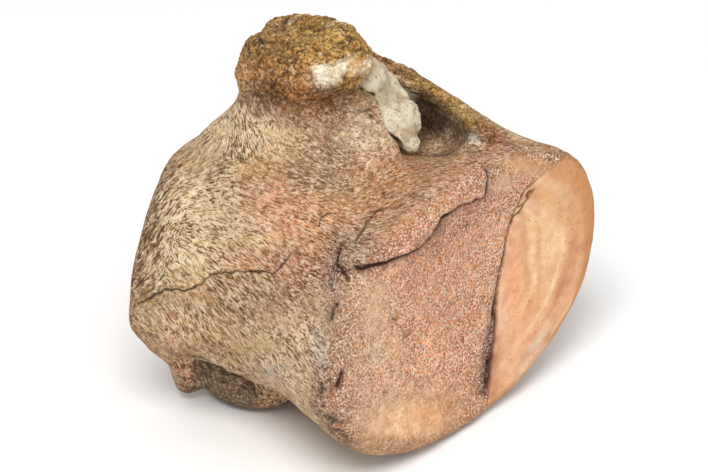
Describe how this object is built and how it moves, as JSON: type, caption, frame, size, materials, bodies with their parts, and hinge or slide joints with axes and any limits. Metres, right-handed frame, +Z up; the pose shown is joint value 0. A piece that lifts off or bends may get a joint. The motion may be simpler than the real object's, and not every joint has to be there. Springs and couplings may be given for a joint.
{
  "type": "fossil plesiosaur vertebra",
  "caption": "Fossil plesiosaur vertebra: wide oval centrum, left pedicel with a rugose process, broken right arch and pale rock in the neural canal.",
  "frame": {"origin": "on the ground under the middle of the whole piece's box", "axes": "+Y along the centrum's long axis, away from the joint face that shows; +X to the animal's side with the broken arch; +Z up, towards the process"},
  "size_m": [0.1062, 0.0711, 0.102],
  "materials": {
    "bone": "matt mineralised bone, tan with salmon and ochre areas",
    "rock": "matt grey-white sandy matrix"
  },
  "bodies": {
    "root": {"vertebra_bone": "bone", "canal_rock": "rock"}
  },
  "joints": []
}
